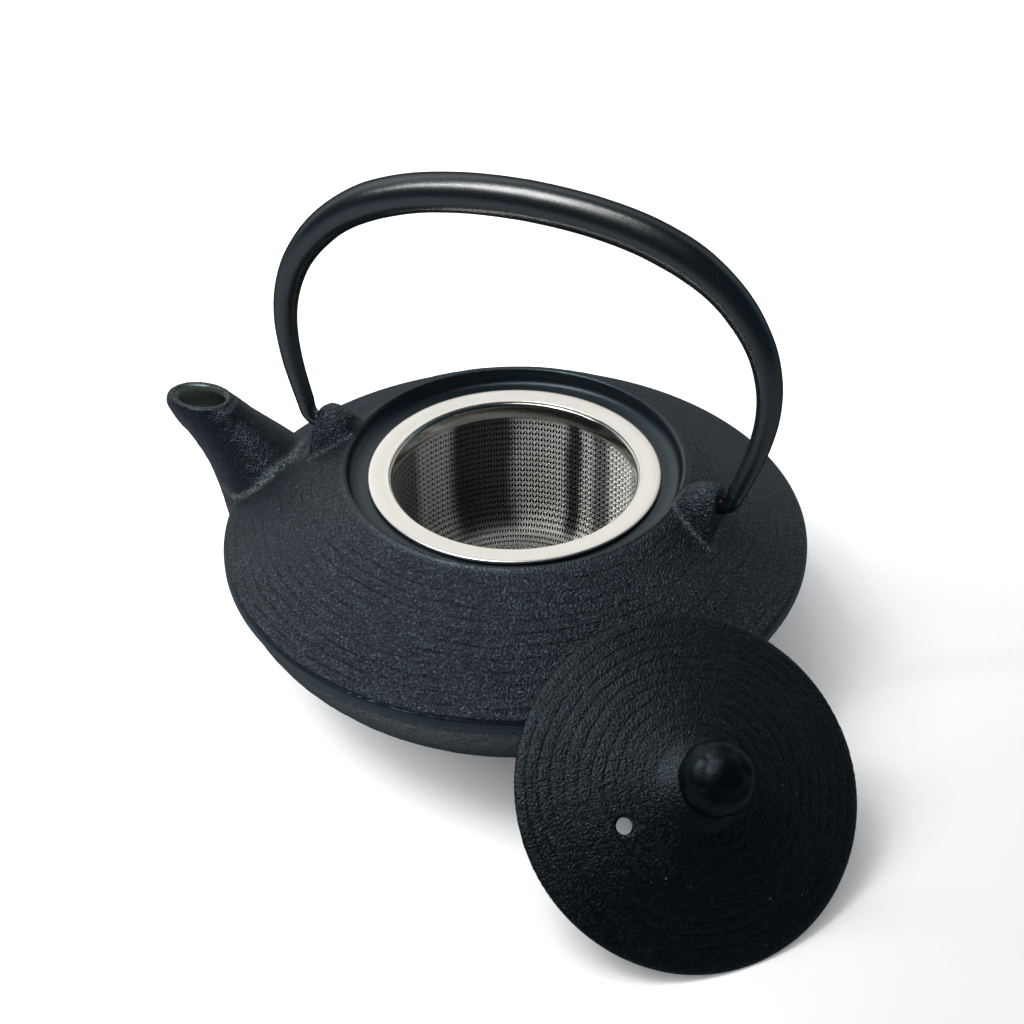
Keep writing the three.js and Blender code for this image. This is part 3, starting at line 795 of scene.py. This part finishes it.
def make_lid_shell():
    grid = Grid((-42.5, -42.5, -7.5), (42.5, 42.5, 15), 0.41)
    bore = [[TENON_R, 6.6], [TENON_R, 12.35], [4.6, 12.4]]
    body = grid.revolve(np.vstack([
        bore, curve_through(LID_TOP, 5), curve_through(LID_EDGE, 3), LID_FLANGE,
        LID_UNDERSIDE]))
    x, y, _ = grid.coordinates()
    small_hole = np.sqrt((x + 19.0) ** 2 + (y + 3.0) ** 2) - 1.95
    body = cut(body, small_hole, 0.6)
    body = np.maximum(body, TENON_R - np.sqrt(x**2 + y**2))
    points, quads = grid.mesh(body)
    x, y, z = points.T
    radius = np.hypot(x, y)
    above = fade(1.6, 0.8, np.interp(radius, *LID_OUTSIDE) - z)
    # outward direction of the cone
    hub = np.maximum(radius, 1e-6)
    outward = np.stack([x / hub * 0.29, y / hub * 0.29, np.full_like(radius, 0.957)], -1)
    wavering = waver(radius, points, (0.55, 16.0, 13), (0.22, 5.0, 14))
    broken = 0.35 + 0.65 * fade(-0.4, 0.3, noise(points, size=10.0, seed=15))
    turned = above * fade(9.5, 12.5, radius) * broken
    across = np.mod(wavering / 2.7, 1.0)
    terrace = 0.5 - np.abs(across - 0.5) ** 2 * 4 * 0.9
    relief = waver(0, points, (0.03, 1.0, 11), (0.035, 1.9, 12))
    relief = waver(relief + 0.06 * (terrace - 0.2) * turned, points, (0.05, 9.0, 16))
    relief = relief * above * fade(9.0, 12.5, radius) * fade(40.2, 39.0, radius)
    points = points + outward * relief[:, None]
    # slightly uneven rim, as cast
    angle = np.arctan2(points[:, 1], points[:, 0])
    lobes = 1 + np.sin(3 * angle + 1.0) * 0.5 + np.sin(7 * angle) * 0.25
    points[:, :2] *= (1 - 0.0016 * fade(34, 40, radius) * lobes)[:, None]
    lid_piece("lid_shell", points, quads, 1 - above, LID_IRON, "lid_casting",
              "cast_iron_lid", rw=wavering, turn=turned)


def petal_directions():
    petals = []
    for latitude, count, turn in PETAL_ROWS:
        for k in range(count):
            around = 2 * math.pi * (k + turn) / count + 0.12 * math.sin(3.1 * k + latitude)
            rise = math.radians(latitude + 4 * math.sin(5 * k + latitude))
            petals.append([math.cos(rise) * math.cos(around),
                           math.cos(rise) * math.sin(around), math.sin(rise)])
    return np.array(petals)


def make_knob():
    """A bud of soft overlapping petals, leaning a little with its stem."""
    profile = np.vstack([KNOB_STEM, curve_through(KNOB_BUD, 7)])
    points, faces = axis_lathe(profile, 160)
    outward = points - [0, 0, 20.3]
    outward = outward / np.maximum(np.linalg.norm(outward, axis=1), 1e-9)[:, None]
    closeness = np.sort(outward @ petal_directions().T, axis=1)
    from_seam = closeness[:, -1] - closeness[:, -2]  # 0 on the seam between two petals
    bud = fade(13.4, 15.6, points[:, 2])
    sunk = 0.17 * bell(from_seam, 0, 0.12) + 0.30 * (1 - closeness[:, -1]) / 0.16
    points = points - outward * (sunk * bud)[:, None]
    swell = waver(0.20, points, (0.07, 2.6, 21), (0.035, 1.1, 22))
    points = points + outward * (swell * bud)[:, None]
    lean, foot = math.radians(-3), 4.1
    x, y, z = (points - [0, 0, foot]).T
    points = np.stack([x * math.cos(lean) + z * math.sin(lean), y,
                       -x * math.sin(lean) + z * math.cos(lean) + foot], -1)
    lid_piece("lid_bud_knob", points, faces, 0.35, KNOB_IRON, "lid_knob", "cast_iron_knob")


def make_washer():
    """Washer under the lid, with five soft petals."""
    points, faces = closed_lathe(WASHER, 96)
    angle = np.arctan2(points[:, 1], points[:, 0])
    radius = np.hypot(points[:, 0], points[:, 1])
    dip = 0.075 * fade(3.5, 6, radius) * (0.5 - 0.5 * np.cos(5 * angle))
    points[:, :2] *= (1 - dip)[:, None]
    lid_piece("lid_petal_washer", points, faces, 1.0, WASHER_IRON, "lid_knob_washer",
              "washer_iron")


# ---------------------------------------------------------------- handle
# half of the arch, from its top down, measured from the pivot: x, z, tube diameter
ARCH = [
    (0, 68.1, 9.6), (7.55, 67.83, 9.6), (15.35, 67.17, 9.58), (23.6, 65.88, 9.58),
    (30.2, 64.28, 9.57), (36.9, 61.9, 9.5), (41.41, 59.75, 9.28), (45.76, 57.04, 8.76),
    (49.83, 53.77, 8.32), (53.43, 49.91, 7.97), (56.56, 45.59, 7.4), (59.06, 40.82, 6.97),
    (60.7, 35.7, 6.56), (61.55, 30.38, 6.13), (61.54, 25.0, 5.75), (60.8, 19.68, 5.4),
    (59.59, 14.49, 5.1), (57.98, 9.46, 4.75), (56.45, 5.2, 4.5)]
# hook from the lug's pin hole up into the tube: distance from the axis, z, radius
HOOK = np.array([
    (46.7, 0, 1.6), (47.05, 0, 1.9), (50, 0, 1.9), (52.6, 0.02, 1.92), (54.0, 0.45, 2.0),
    (55.1, 1.5, 2.1), (55.75, 2.9, 2.18), (56.2, 4.4, 2.24), (56.42, 5.1, 2.245),
    (56.45, 5.17, 1.1), (57.98, 9.46, 1.25), (59.3, 13.4, 1.35)])
OUTER_COUNT, INNER_COUNT = ((56, 24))  # points round the rolled sheet


def handle_to_world(points):
    x, y, z = points.T
    cosine, sine = math.cos(HANDLE_TILT), math.sin(HANDLE_TILT)
    return np.stack([x, y * cosine - z * sine, y * sine + z * cosine + PIVOT_Z], -1)


def centre_line(x, z):
    """Points of a line in XZ and the directions square to it."""
    points = np.stack([x, 0 * x, z], -1)
    tangent = np.gradient(points, axis=0)
    tangent /= np.linalg.norm(tangent, axis=1)[:, None]
    return points, np.stack([tangent[:, 2], 0 * x, -tangent[:, 0]], -1)


def sheet_section(outer, inner):
    """(radius, angle) loop of rolled sheet: its seam faces into the arch, lips rolled in."""
    gap = 0.11 / outer
    full = 2 * np.pi
    start, end = gap * 2.6, full - gap * 2.6
    outside = [(outer, angle) for angle in np.linspace(start, end, OUTER_COUNT)]
    end_lip = [(outer - 0.05, full - gap * 1.7), (outer - 0.28, full - gap),
               (inner + 0.2, full - gap), (inner, full - gap * 1.4)]
    inside = [(inner, angle) for angle in np.linspace(end, start, INNER_COUNT)]
    start_lip = [(inner, gap * 1.4), (inner + 0.2, gap), (outer - 0.28, gap),
                 (outer - 0.05, gap * 1.7)]
    return np.array(outside + end_lip + inside + start_lip).T


def sheet_end(first):
    """Triangles over the cut end of the sheet, whose ring starts at vertex first."""
    start_lip = OUTER_COUNT + 4 + INNER_COUNT
    outside = [start_lip + 3, *range(OUTER_COUNT), OUTER_COUNT]
    inside = [start_lip, *range(start_lip - 1, OUTER_COUNT + 3, -1), OUTER_COUNT + 3]
    triangles = []
    for lip in (start_lip, OUTER_COUNT):
        triangles += [[lip, lip + 1, lip + 2], [lip, lip + 2, lip + 3]]
    # walk both arcs together, each step on the one that lags
    i = j = 0
    outer_steps, inner_steps = len(outside) - 1, len(inside) - 1
    while i < outer_steps or j < inner_steps:
        lags = (i + 1) / outer_steps <= (j + 1) / inner_steps
        if j == inner_steps or (i < outer_steps and lags):
            triangles.append([outside[i], outside[i + 1], inside[j]])
            i += 1
        else:
            triangles.append([outside[i], inside[j + 1], inside[j]])
            j += 1
    return np.array(triangles) + first


def make_bail():
    half = curve_through(ARCH, 7)
    x, z, diameter = np.vstack([half[::-1] * [-1, 1, 1], half[1:]]).T
    centres, across = centre_line(x, z)
    rings = []
    for centre, direction, outer in zip(centres, across, diameter / 2):
        wall = np.minimum(1.0, 0.3 * outer)
        radius, angle = sheet_section(outer, outer - wall)
        rings.append(ring_at(centre, direction, radius * np.cos(angle), radius * np.sin(angle)))
    count = len(rings[0])
    points = np.vstack(rings)
    # faint forming undulation along the tube
    middle = np.repeat(centres, count, 0)
    swell = waver(1, points, (0.006, 14.0, 31), (0.0025, 4.0, 32))
    points = middle + (points - middle) * swell[:, None]
    faces = [grid_faces(len(rings), count), sheet_end(0),
             sheet_end((len(rings) - 1) * count)[:, ::-1]]
    piece("handle_bail", handle_to_world(points), faces,
          dict(lc=points, wear_and_sheen=np.zeros(len(points))), HANDLE_PAINT, rides="handle",
          replaces="handle_tube", face_outwards=True, sharp_degrees=50)


def make_hook(name, replaces, side):
    stations = np.vstack([HOOK[:1], curve_through(HOOK[1:9], 6), HOOK[9:]])
    centres, across = centre_line(stations[:, 0] * side, stations[:, 1])
    angle = np.linspace(0, 2 * np.pi, 36, endpoint=False)
    rings = []
    for (x, z, radius), centre, direction in zip(stations, centres, across):
        # hammered slightly flat at the bend
        bend = bell(x, 54.8, 1.6) * (z < 4.4)
        rings.append(ring_at(centre, direction, np.cos(angle) * radius * (1 - 0.07 * bend),
                             np.sin(angle) * radius * (1 + 0.03 * bend)))
    points, triangles = lofted(rings)
    x, y, z = points.T
    wear_and_sheen = bell(np.abs(x), 53.0, 0.55) * fade(0.6, 1.7, z) * fade(1.6, 0.4, np.abs(y))
    piece(name, handle_to_world(points), triangles, dict(lc=points, wear_and_sheen=wear_and_sheen), HOOK_PAINT,
          rides="handle", replaces=replaces, face_outwards=True,
          sharp_degrees=50)


# ---------------------------------------------------------------- strainer
# collar inside the cup's top, and the edge that binds the weave behind it: radius, z
COLLAR = [[30.02, 49.7], [30.1, 49.58], [30.28, 49.58], [30.36, 49.75], [30.38, 52.8],
          [30.5, 53.3], [30.78, 53.6], [30.74, 53.74], [30.5, 53.68], [30.2, 53.4],
          [30.04, 52.9], [29.98, 52.2], [29.96, 51.2]]
BINDING = [[30.55, 52.2], [30.62, 51.6], [31.2, 51.55], [31.3, 52.2], [31.28, 52.9],
           [30.9, 53.1], [30.6, 52.9]]
RING_SEGMENTS = 256
CUP_R, CUP_BOTTOM, CUP_TOP, CORNER_R = 30.88, 14.3, 52.6, 9.0
CORNER_Z = CUP_BOTTOM + CORNER_R
WALL = CUP_TOP - CORNER_Z
CUP_LENGTH = WALL + CORNER_R * math.pi / 2  # down the wall and round the corner
UPRIGHTS, HOOPS = ((248, 26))
HOOP_PITCH = CUP_LENGTH / HOOPS
ZIGZAG = 0.235 * HOOP_PITCH
BOTTOM_PITCH = 0.84


def steel_piece(name, points, faces, material, replaces=None, face_outwards=True):
    piece(name, points, faces, dict(lc=points), material, rides="infuser",
          replaces=replaces, face_outwards=face_outwards)


def make_rim():
    """Flat flange with a rolled inner bead and a folded outer edge."""
    bead = [[31.05 + 0.32 * math.cos(angle), RIM_TOP - 0.50 + 0.30 * math.sin(angle)]
            for angle in np.linspace(1.4, math.pi * 1.25, 12)]
    fold = [[35.62 + 0.38 * math.cos(angle), RIM_TOP - 0.4 + 0.38 * math.sin(angle)]
            for angle in np.linspace(-1.4, 1.45, 9)]
    under = [[31.2, RIM_TOP - 0.86], [35.3, RIM_TOP - 0.8]]
    top = [[35.2, RIM_TOP], [33.6, RIM_TOP - 0.06], [32.2, RIM_TOP - 0.14]]
    points, faces = closed_lathe(bead + under + fold + top, RING_SEGMENTS)
    points[:, 2] = waver(points[:, 2], points * [1, 1, 0], (0.02, 9.0, 41))
    steel_piece("strainer_rim", points, faces, RIM_STEEL, "infuser_rim")


def make_collar():
    points, faces = closed_lathe(COLLAR, RING_SEGMENTS)
    points[:, :2] *= waver(1, points * [1, 1, 0.3], (0.0012, 12.0, 42))[:, None]
    steel_piece("strainer_collar", points, faces, COLLAR_STEEL,
                "infuser_collar")


def make_binding():
    points, faces = closed_lathe(BINDING, RING_SEGMENTS)
    steel_piece("strainer_binding", points, faces, COLLAR_STEEL)


def on_cup(distance, angle, lift):
    """Points and normals on the cup: distance down from its top, lift off its surface."""
    bend = np.clip((distance - WALL) / CORNER_R, 0, math.pi / 2)
    out, up = np.cos(bend), -np.sin(bend)
    on_wall = distance < WALL
    radius = np.where(on_wall, CUP_R, CUP_R - CORNER_R + CORNER_R * out) + lift * out
    z = np.where(on_wall, CUP_TOP - distance, CORNER_Z - CORNER_R * np.sin(bend)) + lift * up
    cosine, sine = np.cos(angle), np.sin(angle)
    return (np.stack([radius * cosine, radius * sine, z], -1),
            np.stack([out * cosine, out * sine, up], -1))


def wire(path, normal, half_thickness, half_width, closed=False):
    """Four-sided wire; thickness is across the cloth, width along it."""
    if closed:
        tangent = np.roll(path, -1, 0) - np.roll(path, 1, 0)
    else:
        tangent = np.gradient(path, axis=0)
    tangent /= np.linalg.norm(tangent, axis=1)[:, None]
    side = np.cross(tangent, normal)
    side /= np.linalg.norm(side, axis=1)[:, None]
    out = np.cross(side, tangent)
    angle = (np.array([0.0, 0.5, 1.0, 1.5]) * math.pi)[None, :, None]
    points = (path[:, None, :] + half_thickness * np.cos(angle) * out[:, None, :]
              + half_width * np.sin(angle) * side[:, None, :])
    faces = grid_faces(len(path), 4, wrap_rows=closed)
    if not closed:
        last = (len(path) - 1) * 4
        faces = np.vstack([faces, [[3, 2, 1, 0]], [[last + k for k in range(4)]]])
    return points.reshape(-1, 3), faces


def hoops():
    """Crimped hoops that zigzag over the uprights."""
    # three points to an upright: both ends of the flat crown, then the dip behind the next
    k = np.arange(UPRIGHTS * 3)
    step = 2 * math.pi / UPRIGHTS
    angle = (k // 3) * step + np.array([-0.26, 0.26, 0.5])[k % 3] * step
    crown = k % 3 < 2
    swing = np.where((k // 3) % 2 == 0, 1.0, -1.0) * ZIGZAG
    for i in range(HOOPS):
        distance = (i + 0.5) * HOOP_PITCH + np.where(crown, swing, 0.0)
        path = on_cup(distance, angle, lift=np.where(crown, -0.20, 0.14))
        yield wire(*path, half_thickness=0.18, half_width=0.20, closed=True)


def uprights():
    """Straight uprights, pushed out where they cross a hoop."""
    for j in range(UPRIGHTS):
        swing = ZIGZAG if j % 2 == 0 else -ZIGZAG
        crossings = (np.arange(HOOPS) + 0.5) * HOOP_PITCH + swing
        between = (np.arange(HOOPS) + 1.0) * HOOP_PITCH + swing
        distance = np.sort(np.concatenate([[0.0], crossings, between, [CUP_LENGTH]]))
        distance = distance[(distance >= 0) & (distance <= CUP_LENGTH)]
        phase = np.mod((distance - 0.5 * HOOP_PITCH - swing) / HOOP_PITCH, 1.0)
        lift = np.where((phase < 0.02) | (phase > 0.98), 0.17, -0.06)
        path = on_cup(distance, 2 * math.pi * j / UPRIGHTS, lift)
        yield wire(*path, half_thickness=0.13, half_width=0.15)


def bottom_weave():
    """Wires along X and along Y, woven over a flat disc."""
    radius = CUP_R - CORNER_R + 0.3
    count = int(radius // BOTTOM_PITCH)
    for i in range(-count, count + 1):
        place = i * BOTTOM_PITCH
        reach = int(math.sqrt(max(radius * radius - place * place, 0)) / (BOTTOM_PITCH / 2))
        k = np.arange(-reach, reach + 1)
        if len(k) < 4:
            continue
        along = k * BOTTOM_PITCH / 2
        aside = place + 0 * along
        over = np.where((k // 2 + i) % 2 == 0, 1.0, -1.0)
        lift = np.where(k % 2 == 0, over, 0.0) * 0.16
        up = np.tile([0, 0, 1.0], (len(k), 1))
        for path in ([along, aside, CUP_BOTTOM + lift], [aside, along, CUP_BOTTOM - lift]):
            yield wire(np.stack(path, -1), up, half_thickness=0.15, half_width=0.19)


def make_weave(name, wires):
    points, faces = zip(*wires)
    starts = np.cumsum([0] + [len(block) for block in points])
    faces = np.vstack([block + start for block, start in zip(faces, starts)])
    steel_piece(name, np.vstack(points), faces, WIRE_STEEL, "infuser_mesh",
                face_outwards=False)


# ---------------------------------------------------------------- stage, light, camera
def floor_material():
    graph = Graph(bpy.data.materials.new("pale_cloth"), "TexCoord", "Object")
    threads = [graph.add("TexWave", "Fac", Scale=620.0, Distortion=0.6, Detail=1.0,
                         wave_type="BANDS", bands_direction=axis, Vector=graph.place)
               for axis in "XY"]
    weave = threads[0] * threads[1]
    soft = graph.noise(scale=6.0, detail=3.0, rough=0.5)
    color = graph.mix(soft, (0.86, 0.865, 0.875), (0.9, 0.9, 0.905))
    color = graph.mix(weave * 0.06, color, (0.7, 0.71, 0.73))
    normal = graph.bump(weave, depth_mm=0.15, strength=0.3)
    normal = graph.bump(soft, depth_mm=3.0, strength=0.5, Normal=normal)
    # light falls away towards the front right corner
    away = graph.along((0.96, -0.28, 0.0))
    color = graph.mix(away.ramp(-0.03, 0.17, to=(0.03, 0.43)), color, (0.0, 0.0, 0.0))
    # dark glossy things mirror the cloth as dim and cool
    glossy_ray = graph.add("LightPath", "Is Glossy Ray")
    dim = graph.mix(1.0, color, (0.25, 0.285, 0.315), blend="MULTIPLY")
    color = graph.mix(glossy_ray, color, dim)
    glow = away.ramp(0.05, -0.06, to=(0.0, 0.16)) * glossy_ray.sibling("Is Camera Ray")
    return graph.surface(
        Base_Color=color, Roughness=0.85, Specular_IOR_Level=0.2, Normal=normal,
        Emission_Color=(0.98, 0.99, 1.0), Emission_Strength=glow)


def make_stage():
    """Square cloth, 6.4 m a side."""
    line = np.linspace(-3.2, 3.2, 17)
    points = np.array([[x, y, 0.0] for y in line for x in line])
    faces = grid_faces(len(line), len(line), wrap_columns=False)
    floor = mesh_object("floor_cloth", points * 1000.0, faces, {})
    floor.data.materials.append(floor_material())


def view_direction(side, back, up=0.0):
    """Turn a direction from the view's axes (right, away, up) into the world's."""
    cosine, sine = math.cos(VIEW_TURN), math.sin(VIEW_TURN)
    return (side * cosine - back * sine, side * sine + back * cosine, up)


def make_world():
    """White surroundings behind, and a dark room above and in front for the gloss to mirror."""
    world = bpy.data.worlds.new("studio")
    bpy.context.scene.world = world
    graph = Graph(world, "TexCoord", "Generated")
    side, back, high = (graph.along(direction) for direction in (
        view_direction(1, 0), view_direction(0, 1), (0, 0, 1)))

    # what glossy rays see: a back wall brighter to the left, a right wall, a low glow
    behind = back.ramp(0.10, 0.62) * high.ramp(0.94, 0.70)
    left = side.ramp(0.55, -0.30, to=(0.24, 1.0))
    wall = behind * left * high.ramp(0.25, 0.6, to=(0.80, 1.25))
    wall = wall * side.ramp(-0.25, -0.65, to=(1.0, 1.1))
    right = side.ramp(0.30, 0.75) * high.ramp(0.88, 0.55)
    right = right * back.ramp(-0.05, 0.35, to=(0.02, 0.24))
    low = high.ramp(0.45, 0.05) * 0.06
    tint = graph.mix(behind, (0.38, 0.80, 1.08), (1.0, 0.985, 0.95))
    mirrored = graph.scaled(tint, wall + right + low + 0.009)

    # what lights matt surfaces: strongest from the front left
    front_left = graph.along(view_direction(-0.50, -0.82, 0.28))
    fill = front_left.ramp(-0.1, 0.9, to=(0.0, 1.50)) + 0.55
    soft = graph.scaled((0.98, 1.0, 1.01), fill)
    glossy_ray = graph.add("LightPath", "Is Glossy Ray")
    backdrop = (0.86, 0.87, 0.875)  # seen by the camera
    plain = graph.mix(glossy_ray.sibling("Is Camera Ray"), soft, backdrop)
    graph.fill(graph.tree.nodes["Background"], Strength=1.0,
               Color=graph.mix(glossy_ray, plain, mirrored))
    world.cycles.sampling_method = "NONE"


def make_window(name, place, width, watts):
    """Warm-white pane aimed at the pot; place in metres along the view's axes."""
    light = bpy.data.lights.new(name, "AREA")
    light.shape = "RECTANGLE"
    light.size = width
    light.size_y = 0.42
    light.energy = watts
    light.color = (1.0, 0.985, 0.965)
    ob = bpy.data.objects.new(name, light)
    bpy.context.scene.collection.objects.link(ob)
    ob.location = view_direction(*place)
    aim = Vector((0, 0, 0.05)) - Vector(ob.location)
    ob.rotation_euler = aim.to_track_quat("-Z", "Y").to_euler()


def make_camera():
    data = bpy.data.cameras.new("photo_view")
    data.sensor_width = 36.0
    data.lens = 80.859375
    data.clip_start = 0.01
    data.clip_end = 50
    ob = bpy.data.objects.new("photo_view", data)
    bpy.context.scene.collection.objects.link(ob)
    pitch, roll = math.radians(36.965), math.radians(-0.715)
    forward = np.array([0, math.cos(pitch), -math.sin(pitch)])
    right = np.array([1.0, 0, 0])
    up = np.cross(right, forward)
    # mm from a point on the pot's axis, 54.4 above the floor
    place = right * -0.7227 + up * -9.992 - forward * 563.88
    axes = [math.cos(roll) * right + math.sin(roll) * up,
            -math.sin(roll) * right + math.cos(roll) * up, -forward]
    pose = np.eye(4)
    for column, axis in enumerate(axes):
        pose[:3, column] = view_direction(*axis)
    pose[:3, 3] = (np.array(view_direction(*place)) + [0, 0, 54.4]) * MM
    ob.matrix_world = Matrix(pose.tolist())
    bpy.context.scene.camera = ob


make_pot()
make_lid_shell()
make_knob()
make_washer()
make_bail()
make_hook("hook_pin_left", "handle_hook_left", side=-1)
make_hook("hook_pin_right", "handle_hook_right", side=1)
make_rim()
make_collar()
make_weave("strainer_hoops", hoops())
make_weave("strainer_uprights", uprights())
make_weave("strainer_bottom", bottom_weave())
make_binding()

make_stage()
make_world()
make_window("key_window", place=(-0.44, -0.20, 1.05), width=0.34, watts=6.6)
make_window("key_window_edge", place=(-0.20, 0.0, 1.06), width=0.17, watts=2.7)
make_window("key_side_pane", place=(-0.74, -0.12, 0.95), width=0.12, watts=2.6)
make_camera()
bpy.context.scene.view_settings.view_transform = "Standard"
bpy.context.scene.view_settings.look = "None"

bpy.context.view_layer.update()
